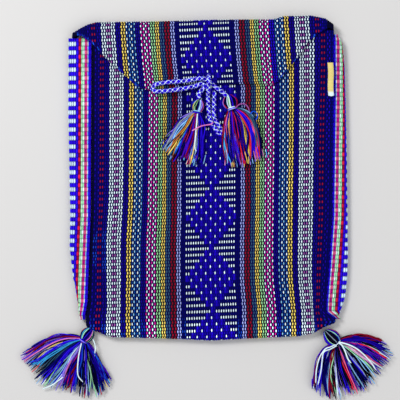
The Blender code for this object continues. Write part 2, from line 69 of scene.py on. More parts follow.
LEFT_EDGE = [(-126, -100.6), (-110, -100.5), (-100, -98.6), (-30, -96.0), (119, -95.4)]
RIGHT_EDGE = [(-126, 92.6), (-100, 92.8), (-70, 95.0), (-30, 97.2), (119, 97.0)]
BOTTOM_LINE = [(-101.9, -118.0), (-99.0, -121.0), (-96.0, -122.8), (-89.8, -124.4), (-84.8, -126.9),
               (-79.0, -128.6), (-70.3, -128.6), (-37.0, -129.4), (-4.8, -130.7), (0.0, -131.0),
               (28.2, -129.4), (49.2, -128.6), (71.7, -127.4), (82.0, -125.6), (84.7, -124.2),
               (92.7, -119.9), (101.0, -117.2)]
TOP_LINE = [(-111.5, 117.0), (-104.8, 121.2), (-99, 124.0), (-92.8, 125.6), (-40, 126.2), (0, 127.4),
            (50, 127.8), (58, 130.4), (80, 131.0), (92, 128.6), (98.4, 124.2)]
FLAP_EDGE = [(-111.5, 114.8), (-103.6, 113.4), (-96, 108.0), (-82.4, 93.6), (-67, 79.8), (-58, 71.6),
             (-47, 69.6), (-20, 72.2), (0, 74.6), (49, 74.8), (53.6, 76.8), (64, 88.8), (73.6, 100.8),
             (77.6, 108.0), (87.2, 116.0), (93.6, 119.6), (98.4, 120.6)]
LEFT_REACH = [(-114, 4.6), (-106, 7.2), (-97, 9.6), (-88, 11.2), (-80, 13.4), (-56, 17.0), (0, 18.2),
              (54, 19.4), (110, 19.4)]
RIGHT_REACH = [(-113.4, 1.2), (-110.6, 6.0), (-107.2, 11.8), (-100, 14.2), (-94, 15.2), (-80, 15.6),
               (-60, 14.6), (-30, 12.4), (14, 11.4), (56, 9.8), (90, 8.8), (108, 7.0), (112, 5.2),
               (115.6, 2.2)]
RIGHT_SEAM = [(-126, 100.6), (-113.4, 100.6), (-107, 92.5), (-100, 92.8), (-70, 95.2), (-30, 97.8),
              (14, 98.3), (60, 99.0), (119, 98.9)]
# How far the stripes wander sideways: at each height, the millimetres at the places across in WANDER_AT.
WANDER_AT = (-95.5, -83, -60, -33, -8, 28, 60, 78, 86, 95.5)
WANDER = [(-130, (0, 2.2, 2.8, 4.6, 5.6, 7.0, 7.2, 6.6, 4.4, 7.8)),
          (-113.4, (0, 2.2, 2.0, 3.8, 5.4, 6.4, 6.6, 6.1, 2.6, 7.8)),
          (-107, (0, 2.2, 1.6, 3.4, 5.2, 6.2, 6.4, 5.8, 1.4, 0)),
          (-96, (0, 0.9, 0.2, 2.2, 3.8, 4.6, 4.8, 4.1, 1.8, 0)),
          (-82, (0, 0.2, 0.4, 1.4, 2.6, 2.6, 2.4, 1.8, 1.0, 0.1)),
          (-66, (0, -0.6, -0.4, 0.6, 1.6, 1.6, 1.0, 0.4, 0.3, 0.2)),
          (-50, (0, -1.3, -0.8, 0.0, 0.8, 1.0, 0.2, -0.2, 0.1, 0.4)),
          (-34, (0, -1.1, -0.6, 0.0, 0.5, 0.4, -0.6, -0.8, -0.2, 0.6)),
          (-18, (0, -0.2, -0.2, -0.2, 0.2, 0.6, -0.8, -1.0, -0.2, 0.8)),
          (14, (0, 0.2, 0.2, 0.0, 0.2, 0.4, 0.0, -0.6, 0.2, 1.2)),
          (60, (0, 0.0, 0.3, 0.3, 0.4, 0.6, 0.3, 0.0, 1.1, 1.9)),
          (95, (0, 0.0, 0.3, 0.3, 0.4, 0.6, 0.3, 0.0, 1.8, 1.9))]
FLAP_WANDER = [(-90, -1.4), (-60, -1.4), (-33, -0.8), (-8, 0.2), (12, 0.8), (28, 1.3), (47, 1.8),
               (57, 2.4), (66, 2.6), (75, 2.8), (87, 4.0)]

# Dyed yarns, as they look in daylight (0 to 255).
YARNS = {
    "navy": (2, 2, 100), "night": (2, 2, 52), "royal": (40, 12, 222), "blue": (16, 4, 128),
    "lavender": (158, 170, 236), "dark_red": (136, 8, 38), "teal": (52, 90, 120),
    "yellow": (242, 214, 100), "green": (150, 214, 152), "magenta": (200, 14, 136),
    "steel": (0, 62, 140), "white": (224, 244, 250), "red": (146, 14, 40), "mauve": (150, 76, 150),
    "mint": (170, 236, 186), "salmon": (228, 92, 140), "crimson": (214, 30, 62), "sky": (142, 200, 250),
    "pale": (204, 230, 250), "purple": (70, 12, 176), "pink": (220, 120, 196), "cyan": (60, 170, 236),
    "tape": (226, 208, 128), "grey": (150, 165, 190), "azure": (22, 78, 216),
    "orange": (206, 124, 50), "weft": (4, 3, 66), "violet": (22, 3, 150), "ink": (6, 6, 26),
    "lilac": (150, 130, 250), "cobalt": (24, 4, 190), "ice": (128, 182, 216), "shade": (20, 14, 30),
}


def dye(name):
    """Linear colour of a named yarn."""
    levels = np.array(YARNS[name]) / 255.0
    return np.where(levels <= 0.04045, levels / 12.92, ((levels + 0.055) / 1.055) ** 2.4)


def along(knots, t):
    """The second number of the knots where the first is t."""
    return np.interp(t, [knot[0] for knot in knots], [knot[1] for knot in knots])


def back_along(knots, value):
    """The first number of the knots where the second is value."""
    return np.interp(value, [knot[1] for knot in knots], [knot[0] for knot in knots])


def place_of(pair, edges):
    """Place across the cloth of a pair number, whole or in between."""
    return np.interp(pair, np.arange(len(edges)), edges)


def ease(t):
    """Smooth rise from 0 to 1."""
    t = np.clip(t, 0.0, 1.0)
    return t * t * (3 - 2 * t)


def top_surface(x, y):
    """Height of the front cloth."""
    left, right = along(LEFT_EDGE, y), along(RIGHT_EDGE, y)
    u = np.abs(2 * (x - left) / (right - left) - 1)
    inner = np.minimum(u, 1.0)
    low = ease((y + 126) / 46)
    high = 1 - 0.2 * ease((y - 70) / 50)
    ripple = 0.25 * np.sin(y / 17 + x / 31) * low
    crown = EDGE_Z + (CROWN * (1 - inner ** 2.4) + ripple * (1 - inner * inner)) * low * high
    beyond = np.maximum(left - x, 0) + np.maximum(x - right, 0)
    return np.where(u <= 1, crown, EDGE_Z - BAND_SLOPE * beyond)


# Finishes

class Value:
    """A socket in a finish's nodes; arithmetic on it adds Math nodes."""

    def __init__(self, finish, socket):
        self.finish, self.socket = finish, socket

    def math(self, operation, *others):
        node = self.finish.node("ShaderNodeMath", dict(enumerate((self,) + others)), operation=operation)
        return Value(self.finish, node.outputs[0])

    def __add__(self, other):
        return self.math("ADD", other)

    __radd__ = __add__

    def __sub__(self, other):
        return self.math("SUBTRACT", other)

    def __rsub__(self, other):
        return (self * -1.0) + other

    def __mul__(self, other):
        return self.math("MULTIPLY", other)

    __rmul__ = __mul__

    def __truediv__(self, other):
        return self.math("DIVIDE", other)

    def fraction(self):
        return self.math("FRACT")

    def step(self, low, high):
        """Smooth rise from 0 at low to 1 at high."""
        node = self.finish.node("ShaderNodeMapRange", {"Value": self, "From Min": low, "From Max": high},
                                interpolation_type="SMOOTHSTEP")
        return Value(self.finish, node.outputs[0])


class Finish:
    """A material built node by node on one Principled shader."""

    def __init__(self, name, roughness=0.85, sheen=0.0):
        self.material = bpy.data.materials.new(name)
        self.material.use_nodes = True
        self.tree = self.material.node_tree
        self.surface = self.tree.nodes["Principled BSDF"]
        self.surface.inputs["Roughness"].default_value = roughness
        self.surface.inputs["Sheen Weight"].default_value = sheen
        self.surface.inputs["Specular IOR Level"].default_value = 0.03

    def feed(self, socket, value):
        if isinstance(value, Value):
            self.tree.links.new(value.socket, socket)
        else:
            socket.default_value = value

    def node(self, kind, inputs=None, **settings):
        node = self.tree.nodes.new(kind)
        for key, value in settings.items():
            setattr(node, key, value)
        for key, value in (inputs or {}).items():
            self.feed(node.inputs[key], value)
        return node

    def value(self, kind, output, inputs=None, **settings):
        return Value(self, self.node(kind, inputs, **settings).outputs[output])

    def attribute(self, name, output="Fac"):
        return self.value("ShaderNodeAttribute", output, attribute_name=name)

    def place(self):
        return self.value("ShaderNodeTexCoord", "Object")

    def noise(self, vector, scale, detail=2.0):
        return self.value("ShaderNodeTexNoise", "Fac",
                          {"Vector": vector, "Scale": scale, "Detail": detail})

    def stretch(self, vector, scale):
        return self.value("ShaderNodeMapping", "Vector", {"Vector": vector, "Scale": scale})

    def mix(self, factor, first, second, blend="MIX"):
        node = self.node("ShaderNodeMix", data_type="RGBA", blend_type=blend)
        self.feed(node.inputs[0], factor)
        self.feed(node.inputs[6], first)
        self.feed(node.inputs[7], second)
        return Value(self, node.outputs[2])

    def grey(self, value):
        return self.value("ShaderNodeCombineColor", "Color",
                          {"Red": value, "Green": value, "Blue": value})

    def paint(self, colour, height=None, distance=0.0005, strength=0.6, roughness=None):
        self.feed(self.surface.inputs["Base Color"], colour)
        if roughness is not None:
            self.feed(self.surface.inputs["Roughness"], roughness)
        if height is not None:
            bump = self.value("ShaderNodeBump", "Normal",
                              {"Height": height, "Distance": distance, "Strength": strength})
            self.feed(self.surface.inputs["Normal"], bump)
        return self.material


def woven_finish(name, half=0.235, long=0.45, shift=0.13):
    """One rounded dash of yarn a cell, shifted left and right on alternate picks, on the ground."""
    finish = Finish(name)
    pair, pick = finish.attribute("pair"), finish.attribute("pick")
    parity = (pick * 0.5).fraction().math("GREATER_THAN", 0.5)
    across = (pair.fraction() - (0.5 - shift)) - parity * (2 * shift)
    lengthwise = pick.fraction() - 0.5
    round_ = (across / half) * (across / half) + (lengthwise / long) * (lengthwise / long)
    dash = 1.0 - round_.step(0.62, 1.25)
    twist = ((pair * 2.0 + pick * 1.5).fraction() - 0.5).math("ABSOLUTE") * 2.0
    place = finish.place()
    hairs = finish.noise(finish.stretch(place, (2200.0, 700.0, 900.0)), 1.0, 3.0)
    wear = finish.noise(place, 26.0, 3.0)
    # Painted sheen: twist lightens and darkens diagonal bands across each dash, as light does on twisted
    # yarn; hairs and wear vary the tone.
    shade = (hairs * 0.5 + 0.77) * (twist * 0.12 + 0.94) * (wear * 0.34 + 0.83)
    colour = finish.mix(dash, finish.attribute("ground", "Color"), finish.attribute("yarn", "Color"))
    colour = finish.mix(1.0, colour, finish.grey(shade), "MULTIPLY")
    height = dash * 0.8 + twist * dash * 0.15 + hairs * 0.3
    return finish.paint(colour, height, 0.0005, 0.7, roughness=hairs * 0.2 + 0.72)


def yarn_finish(name, twist_scale=1.0):
    """Loose twisted yarn, coloured by the piece's own yarn attribute."""
    finish = Finish(name, 0.8, 0.0)
    place = finish.place()
    fibres = finish.noise(finish.stretch(place, (1600.0, 1600.0, 1600.0)), 1.0, 3.0)
    patches = finish.noise(place, 320.0 * twist_scale, 2.0)
    shade = (fibres * 0.7 + 0.65) * (patches * 0.5 + 0.75)
    colour = finish.mix(1.0, finish.attribute("yarn", "Color"), finish.grey(shade), "MULTIPLY")
    return finish.paint(colour, fibres + patches, 0.0004, 0.6)


def tape_finish(name):
    """Fine ribbed tape."""
    finish = Finish(name, 0.75, 0.1)
    place = finish.place()
    axes = finish.node("ShaderNodeSeparateXYZ", {"Vector": place})
    x, y = Value(finish, axes.outputs["X"]), Value(finish, axes.outputs["Y"])
    ribs = (y * 900.0).fraction().math("PINGPONG", 0.5) * 2.0
    threads = (x * 1700.0).fraction().math("PINGPONG", 0.5) * 2.0
    cloudy = finish.noise(place, 160.0, 3.0)
    # Painted shade: the colour darkens into the grooves between ribs and threads, on top of the bump;
    # cloudy varies the tone.
    shade = (ribs * 0.22 + 0.84) * (threads * 0.1 + 0.95) * (cloudy * 0.3 + 0.85)
    colour = finish.mix(1.0, finish.attribute("yarn", "Color"), finish.grey(shade), "MULTIPLY")
    return finish.paint(colour, ribs + threads * 0.5, 0.0003, 0.5)


STRIPED_CLOTH = woven_finish("striped cloth")
SIDE_BAND = woven_finish("side band", half=0.37, long=0.50, shift=0.08)
TASSEL_YARN = yarn_finish("tassel yarn")
BRAID_YARN = yarn_finish("braided cord", 1.4)
BINDING_YARN = yarn_finish("binding yarn")
LABEL_TAPE = tape_finish("label tape")


# Making pieces

def piece(name, mesh, finish, nodes):
    mesh.materials.clear()
    mesh.materials.append(finish)
    for polygon in mesh.polygons:
        polygon.material_index = 0
    mesh.polygons.foreach_set("use_smooth", [True] * len(mesh.polygons))
    obj = bpy.data.objects.new(name, mesh)
    bpy.context.scene.collection.objects.link(obj)
    if nodes:
        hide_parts(*nodes)
    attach(obj, "root")
    return obj


def colour_faces(mesh, colours, key="yarn"):
    """One colour a face, held on its corners under the name yarn or ground."""
    totals = np.empty(len(mesh.polygons), np.int32)
    mesh.polygons.foreach_get("loop_total", totals)
    corners = np.repeat(np.c_[colours, np.ones(len(colours))], totals, axis=0).astype(np.float32)
    layer = mesh.attributes.new(key, "FLOAT_COLOR", "CORNER")
    layer.data.foreach_set("color", corners.ravel())


def weave(name, pairs, picks, across, rows, place, paint, finish, nodes, thick=CLOTH,
          relief=0.5):
    """A sheet of cloth: a grid of pairs by picks, laid by place(pair, pick), one colour a cell.

    place returns points (mm), normals, pair, pick and which points are on the cloth. The outer
    columns turn down by the cloth's thickness at both sides.
    """
    turn = 2
    columns, lines = pairs * across + 2 * turn, picks * rows
    bm = bmesh.new()
    bmesh.ops.create_grid(bm, x_segments=columns, y_segments=lines, size=1.0)
    flat = np.array([vert.co[:2] for vert in bm.verts])
    column = np.rint((flat[:, 0] + 1) / 2 * columns) - turn
    line = np.rint((flat[:, 1] + 1) / 2 * lines)
    over = (np.maximum(-column, 0) + np.maximum(column - pairs * across, 0)) / turn
    pair, pick = np.clip(column / across, 0, pairs), line / rows
    points, normals, pair, pick, inside = place(pair, pick)
    shift = np.where(np.floor(pick + 1e-6) % 2 < 1, 0.37, 0.63)
    du, dv = pair % 1.0 - shift, (pick % 1.0) - 0.5
    dome = np.sqrt(np.clip(1 - (du / 0.38) ** 2 - (dv / 0.6) ** 2, 0, 1))
    lift = np.where(over > 0, -relief * 0.6, (dome - 1.0) * relief) - over * thick * 0.9
    points = (points + normals * lift[:, None]) * MM
    pair_layer, pick_layer = bm.verts.layers.float.new("pair"), bm.verts.layers.float.new("pick")
    for vert, point, a, b in zip(bm.verts, points.tolist(), pair.tolist(), pick.tolist()):
        vert.co = point
        vert[pair_layer], vert[pick_layer] = a, b
    bare = [face for face in bm.faces if not any(inside[vert.index] for vert in face.verts)]
    bmesh.ops.delete(bm, geom=bare, context="FACES")
    bmesh.ops.remove_doubles(bm, verts=bm.verts[:], dist=1e-7)
    mesh = bpy.data.meshes.new(name)
    bm.to_mesh(mesh)
    bm.free()
    starts = np.empty(len(mesh.polygons), np.int32)
    mesh.polygons.foreach_get("loop_start", starts)
    totals = np.empty(len(mesh.polygons), np.int32)
    mesh.polygons.foreach_get("loop_total", totals)
    corner = np.empty(len(mesh.loops), np.int32)
    mesh.loops.foreach_get("vertex_index", corner)
    middle = []
    for key in ("pair", "pick"):
        values = np.empty(len(mesh.vertices), np.float32)
        mesh.attributes[key].data.foreach_get("value", values)
        middle.append(np.add.reduceat(values[corner], starts) / totals)
    place_at = np.empty(len(mesh.vertices) * 3, np.float32)
    mesh.vertices.foreach_get("co", place_at)
    spots = np.add.reduceat(place_at.reshape(-1, 3)[corner], starts) / totals[:, None] / MM
    cell_pair = np.clip(np.floor(middle[0]).astype(int), 0, pairs - 1)
    cell_pick = np.floor(middle[1]).astype(int)
    yarns, grounds = paint(cell_pair, cell_pick, spots)
    colour_faces(mesh, yarns)
    colour_faces(mesh, grounds, "ground")
    return piece(name, mesh, finish, nodes)


def uneven(pair, pick, amount, seed):
    """Brightness of each cell, the same each run."""
    code = np.sin(pair * 127.1 + pick * 311.7 + seed * 74.7) * 43758.5453
    return 1 + amount * (2 * (code - np.floor(code)) - 1)


# The striped cloth

def stripe_plan(border_pairs):
    """Stripe name and place in its stripe for each pair from left to right, and the pairs' edges."""
    side, widths = [], []
    for name, width, count in STRIPES:
        count = border_pairs if name == "border" else count
        side += [(name, spot) for spot in range(count)]
        widths += [width / count] * count
    width, count = BROCADE
    plan = side[::-1] + [("brocade", spot) for spot in range(count)] + side
    steps = widths[::-1] + [width / count] * count + widths
    return plan, np.concatenate([[0], np.cumsum(steps)]) - HALF


DIAMOND_ROWS = 10


def stripe_paint(plan, seed, hem=None):
    """Colours each cell of a striped cloth; hem says which cells are on the flap's rolled edge."""
    names = np.array([name for name, _ in plan])
    spots = np.array([spot for _, spot in plan])

    def paint(pair, pick, where):
        name, spot = names[pair], spots[pair]
        colours = np.zeros((len(pair), 3))
        odd = (pair + pick) % 2 == 1
        late = pick % 2 == 1

        def fill(mask, yarn):
            colours[mask] = dye(yarn)

        for plain in ("navy", "dark_red", "teal", "yellow", "green", "blue", "lavender", "white"):
            fill(name == plain, plain)
        fill((name == "magenta") & odd, "magenta")
        fill((name == "magenta") & ~odd, "white")
        fill((name == "steel") & odd, "steel")
        fill((name == "steel") & ~odd, "ice")
        fill((name == "steel") & ~odd & (spot % 2 == 1), "white")
        fill((name == "white") & ((spot == 2) | (spot == 3)) & late, "mauve")
        fill((name == "red") & ~late, "red")
        fill((name == "red") & late, "navy")
        fill(name == "border", "navy")
        fill((name == "border") & odd & (spot < 2), "violet")
        fill((name == "blue") & odd, "violet")
        # Painted shade: the outermost border column on the left is near-black, standing for the shadow
        # in the seam beside the side band.
        seam = (name == "border") & (spot == 2) & (hem is None) & (pair < len(names) / 2)
        fill(seam, "night")
        grounds = np.repeat(dye("weft")[None, :], len(pair), axis=0)
        grounds[seam] = dye("ink")
        grounds[np.isin(name, ["dark_red", "yellow", "green"])] = dye("shade")

        # The brocade: diamonds with dots inside and white bars beside them, two picks a row.
        brocade = name == "brocade"
        last = BROCADE[1] - 1
        step = np.mod(np.floor_divide(pick, 2), DIAMOND_ROWS)
        reach = np.abs(DIAMOND_ROWS // 2 - step)
        left, right = 2 * reach, last - np.maximum(2 * reach - 1, 0)
        middle = (spot >= left) & (spot <= right)
        even = step % 2 == 0
        dots = np.where(even, spot % 4 == 0, spot % 4 == 2) & (spot > left) & (spot < right)
        patch = np.where(even, spot % 4 == 2, spot % 4 == 0)
        near = np.where(even, spot % 4 == 1, spot % 4 == 3)
        fill(brocade, "navy")
        fill(brocade & middle, "violet")
        grounds[brocade & middle] = dye("navy")
        for mask, yarn, ground in ((patch, "cobalt", "violet"), (near, "violet", "navy")):
            fill(brocade & middle & mask, yarn)
            grounds[brocade & middle & mask] = dye(ground)
        fill(brocade & ~late & ((spot < left) | (spot > right) | dots), "white")
        colours *= uneven(pair, pick, 0.16, seed)[:, None]
        colours *= uneven(pair, pick * 0, 0.07, seed + 3)[:, None]

        # Painted light: the plain blues are brightened at the upper right, and in one blue stripe of the
        # flap there.
        x, y = where[:, 0], where[:, 1]
        painted_light = 0.5 * ease((x - 70) / 8) * ease((y - 10) / 30) * np.isin(name, ["border", "navy"])
        if hem is not None:
            painted_light = 1.6 * painted_light + 1.3 * ease((x - 40) / 6) * ease((60 - x) / 6) * (name == "blue")
        colours = colours * (1 + painted_light[:, None])

        # Painted highlight: the bottom fold is brightened and flecked with paler blue, as if it caught
        # the light; paler blue flecks also show low on the left border.
        fold = ease((-110 - y) / 12)
        corner = ease((-76 - x) / 6) * ease((-40 - y) / 8) * ease((y + 78) / 10)
        flecks = uneven(pair, pick, 1.0, seed + 9) > 0.8
        cool = np.isin(name, ["border", "blue", "navy"]) & ~seam & flecks
        share = (np.maximum(fold * 0.8, corner * 0.6) * cool)[:, None]
        colours = colours * (1 + 0.45 * fold[:, None]) * (1 - share) + dye("azure") * share

        # Painted highlight: the flap's rolled edge is painted bright azure and violet where a plain
        # stripe meets it; its far corners are dark.
        if hem is not None:
            left_plain = np.isin(name, ["border", "navy", "red"]) & (x < 0)
            edge = (hem(where) & (np.isin(name, ["blue", "steel"]) | left_plain))[:, None]
            painted_hem_highlight = np.where((pair % 2 == 0)[:, None], dye("azure"), dye("violet"))
            painted_hem_highlight = painted_hem_highlight * uneven(pair, pick * 0, 0.4, seed + 5)[:, None]
            colours = np.where(edge, painted_hem_highlight, colours)
            grounds = np.where(edge, painted_hem_highlight * 0.4, grounds)
            tip = (x > 93) | ((x < -107.5) & (y < 117))
            colours[tip] = dye("night")
            grounds[tip] = dye("ink")
        return colours, grounds

    return paint


FRONT_PLAN, FRONT_EDGES = stripe_plan(3)
FLAP_PLAN, FLAP_EDGES = stripe_plan(8)


def wander(w, y):
    """Sideways shift of a stripe that belongs at w, at height y."""
    levels = [level for level, _ in WANDER]
    columns = np.array([np.interp(y, levels, values) for values in zip(*[row for _, row in WANDER])])
    spot = np.interp(w, WANDER_AT, np.arange(len(WANDER_AT)))
    before = np.minimum(spot.astype(int), len(WANDER_AT) - 2)
    number = np.arange(len(spot))
    near, far = columns[before, number], columns[before + 1, number]
    return near + (spot - before) * (far - near)


def front_x(w, y):
    """Where the yarn at w, counted from the middle stripe, lies across the front at height y."""
    left, right = along(LEFT_EDGE, y), along(RIGHT_EDGE, y)
    share = w / HALF
    return left + (right - left) * (share + 1) / 2 - 0.9 * (1 - share * share) + wander(w, y)


def clip_along(value, low, high):
    """The value kept between low and high, and where it already was."""
    inside = (value > low + 1e-6) & (value < high - 1e-6)
    return np.clip(value, low, high), inside


# Pick number at each height; the picks are longer near the bottom.
FRONT_PICKS = [(-159.6, 0), (-68.0, 35.62), (39.36, 80.5), (126.67, 117)]
FRONT_ROWS = 117
MOUTH_Y = 118.8


def body_start(pair, pick):
    """Place across the cloth, then x and y, of a cell of the front or the back before any fold."""
    w = place_of(pair, FRONT_EDGES)
    level = back_along(FRONT_PICKS, pick)
    x = front_x(w, np.clip(level, CLOTH_LOW, CLOTH_HIGH))
    return w, x, level + TILT * x


def front_place(pair, pick):
    """The front, from the mouth down and round the bottom fold."""
    w, x, y = body_start(pair, pick)
    bottom = along(BOTTOM_LINE, x) + EDGE_Z / 2
    y, inside = clip_along(y, bottom - math.pi * EDGE_Z / 2 - 1.5, MOUTH_Y)
    pick = along(FRONT_PICKS, y - TILT * x)
    turn = np.clip((bottom - y) / (EDGE_Z / 2), 0, math.pi)
    under = np.maximum(bottom - y - math.pi * EDGE_Z / 2, 0)
    flat_y = np.maximum(y, bottom)
    x = front_x(w, flat_y)
    side = np.clip((np.abs(w) - (HALF - 1.6)) / 1.6, 0, 1)
    z = top_surface(x, flat_y) - 0.9 * side * side
    radius = z / 2
    points = np.c_[x, flat_y - radius * np.sin(turn) + under,
                   np.where(turn > 0, radius + radius * np.cos(turn), z)]
    normals = np.c_[np.zeros(len(x)), -np.sin(turn), np.cos(turn)]
    return points, normals, pair, pick, inside


front = weave("pouch_front", len(FRONT_PLAN), FRONT_ROWS, 4, 2, front_place,
              stripe_paint(FRONT_PLAN, 1.0), STRIPED_CLOTH, ["main_panel"])


def back_place(pair, pick):
    """The back, flat on what it lies on."""
    w, x, y = body_start(pair, pick)
    low = along(BOTTOM_LINE, x) + EDGE_Z / 2
    high = along(TOP_LINE, x) - 6.0
    y, inside = clip_along(y, low, high)
    pick = along(FRONT_PICKS, y - TILT * x)
    x = front_x(w, y)
    normals = np.c_[np.zeros(len(x)), np.zeros(len(x)), -np.ones(len(x))]
    return np.c_[x, y, np.zeros(len(x))], normals, len(FRONT_PLAN) - pair, pick, inside


def mirrored(paint, pairs):
    """The same paint with the pairs counted from the other side."""
    return lambda pair, pick, where: paint(pairs - 1 - pair, pick, where)


back = weave("pouch_back", len(FRONT_PLAN), FRONT_ROWS, 2, 2, back_place,
             mirrored(stripe_paint(FRONT_PLAN, 2.0), len(FRONT_PLAN)), STRIPED_CLOTH, [])

FLAP_PICKS = [(67.9, 18.5), (76.5, 22.5), (93.68, 30.5), (118.96, 40.5), (144.2, 50.5)]
FLAP_FIRST_PICK = 16
FLAP_ROWS = 36
# How far the flap leans to the left, at each height.
FLAP_DRIFT = [(60, 1.2), (81, 3.1), (94, 4.5), (126, 6.6)]


def flap_x(w, y):
    """Where the yarn at w lies across the flap at height y; the borders widen to the flap's corners."""
    inner = HALF - BORDER
    drift = along(FLAP_WANDER, w) - along(FLAP_DRIFT, y)
    middle = FLAP_MIDDLE + w + drift
    ends = np.where(w < 0, FLAP_LEFT, FLAP_RIGHT)
    share = np.clip((np.abs(w) - inner) / BORDER, 0, 1)
    start = FLAP_MIDDLE + np.sign(w) * inner + drift
    return np.where(np.abs(w) <= inner, middle, start + (ends - start) * share)


def flap_place(pair, pick):
    """The flap: up the back of the top fold, over it and down the front to its rolled edge."""
    w = place_of(pair, FLAP_EDGES)
    level = back_along(FLAP_PICKS, pick + FLAP_FIRST_PICK)
    x = flap_x(w, np.clip(level, 60, 126))
    y = level + TILT * x
    top = along(TOP_LINE, x)
    radius = (top_surface(x, 117.0 + 0 * x) + CLOTH + LAY_GAP) / 2
    fold = top - radius
    end = np.minimum(along(FLAP_EDGE, x), fold - 0.8)
    y, inside = clip_along(y, end - 2.14, fold + math.pi * radius + 1.0)
    level = y - TILT * x
    pick = along(FLAP_PICKS, level)
    flat_y = np.clip(y, end + 1, fold)
    x = flap_x(w, flat_y)
    z = top_surface(x, np.minimum(flat_y, 119)) + CLOTH + LAY_GAP
    blend = ease((flat_y - (fold - 10)) / 10)
    z = z * (1 - blend) + 2 * radius * blend
    roll = np.clip(end + 1 - y, 0, math.pi)
    turn = np.clip((y - fold) / radius, 0, math.pi)
    under = np.maximum(y - fold - math.pi * radius, 0)
    points = np.c_[x, flat_y - np.sin(roll) + radius * np.sin(turn) - under,
                   np.where(turn > 0, radius + radius * np.cos(turn), z - 1 + np.cos(roll))]
    normals = np.c_[np.zeros(len(x)), np.where(turn > 0, np.sin(turn), -np.sin(roll)),
                    np.where(turn > 0, np.cos(turn), np.cos(roll))]
    return points, normals, pair, pick, inside


def flap_hem(where):
    """The rolled edge along the slanted sides of the flap."""
    x, y = where[:, 0], where[:, 1]
    return (y < along(FLAP_EDGE, x) + 2.3) & ((x < -58) | (x > 54))


flap = weave("pouch_flap", len(FLAP_PLAN), FLAP_ROWS, 4, 2, flap_place,
             stripe_paint(FLAP_PLAN, 3.0, flap_hem), STRIPED_CLOTH, [])


# The side bands

BAND_HALF = [("royal", 1.2), ("royal", 1.2), ("sky", 0.8), ("magenta", 1.15), ("magenta", 1.15),
             ("mint", 1.35), ("mint", 1.35), ("crimson", 2.3), ("royal", 2.1),
             ("check", 1.97), ("check", 1.97), ("check", 1.96)]
BAND_PLAN = BAND_HALF + BAND_HALF[::-1]
BAND_EDGES = np.concatenate([[0], np.cumsum([width for _, width in BAND_PLAN])])


def band_place(side, edge, reach, low, high, tuck=0.0):
    """Lays a side band out from its seam, round its fold and back underneath.

    side is -1 for left and 1 for right; tuck is how much of the band is hidden in the seam.
    """
    def place(pair, pick):
        y = low + pick * BAND_PICK
        y, inside = clip_along(y, low, high)
        pick = (y - low) / BAND_PICK
        out = along(reach, y)
        base = 0.25 + 2.1 * ease((y - 84) / 18)
        tip_z = EDGE_Z - BAND_SLOPE * out
        radius = (tip_z - base) / 2
        run = np.maximum(out - SEAM - radius, 0.2)
        p = place_of(pair, BAND_EDGES) - tuck
        p, on_band = clip_along(p, -1, 2 * run + math.pi * radius)
        inside = inside & on_band
        pair = np.interp(p + tuck, BAND_EDGES, np.arange(len(BAND_EDGES)))
        turn = np.clip((p - run) / radius, 0, math.pi)
        back_run = np.maximum(p - run - math.pi * radius, 0)
        distance = SEAM + np.minimum(p, run) + radius * np.sin(turn) - back_run
        z = np.where(turn <= 0, EDGE_Z - (EDGE_Z - tip_z) * np.minimum(p, run) / run,
                     base + radius + radius * np.cos(turn))
        z = z - 1.0 * np.clip(1 - p / 1.2, 0, 1) ** 2
        ends = np.minimum(y - low, high - y)
        pinch = 0.3 + 0.7 * ease(ends / 4)
        z = base + radius + (z - base - radius) * pinch
        x = along(edge, y) + side * distance
        points = np.c_[x, y, z]
        normals = np.c_[side * np.sin(turn), np.zeros(len(x)), np.cos(turn)]
        return points, normals, pair, pick, inside
    return place


def band_paint(seed, first):
    """Colours each cell of a side band; first picks which of the two alternating rows comes first."""
    names = np.array([name for name, _ in BAND_PLAN])

    def paint(pair, pick, where):
        name = names[pair]
        late = (pick + first) % 2 == 1
        colours = np.zeros((len(pair), 3))
        for plain in ("royal", "sky", "magenta", "mint", "crimson"):
            colours[name == plain] = dye(plain)
        colours[(name == "magenta") & late] = dye("salmon")
        colours[(name == "crimson") & late] = dye("dark_red")
        colours[(name == "sky") & late] = dye("white")
        colours[(name == "mint") & late & (pair % 2 == 1)] = dye("white")
        colours[name == "check"] = dye("royal")
        colours[(name == "check") & late] = dye("pale")
        colours = colours * uneven(pair, pick, 0.2, seed)[:, None]
        grounds = 0.3 * colours + 0.7 * dye("weft")
        grounds[name == "royal"] = dye("violet")
        return colours, grounds
    return paint


gusset_left = weave("gusset_band_left", len(BAND_PLAN), 67, 4, 4,
                    band_place(-1.0, LEFT_EDGE, LEFT_REACH, -114.0, 112.6),
                    band_paint(4.0, 1), SIDE_BAND, ["gusset_left"], 0.8, 0.5)
gusset_right = weave("gusset_band_right", len(BAND_PLAN), 68, 4, 4,
                     band_place(1.0, RIGHT_SEAM, RIGHT_REACH, -113.4, 115.6, 1.6),
                     band_paint(5.0, 0), SIDE_BAND, ["gusset_right"], 0.8, 0.5)


# Strands and braided cords

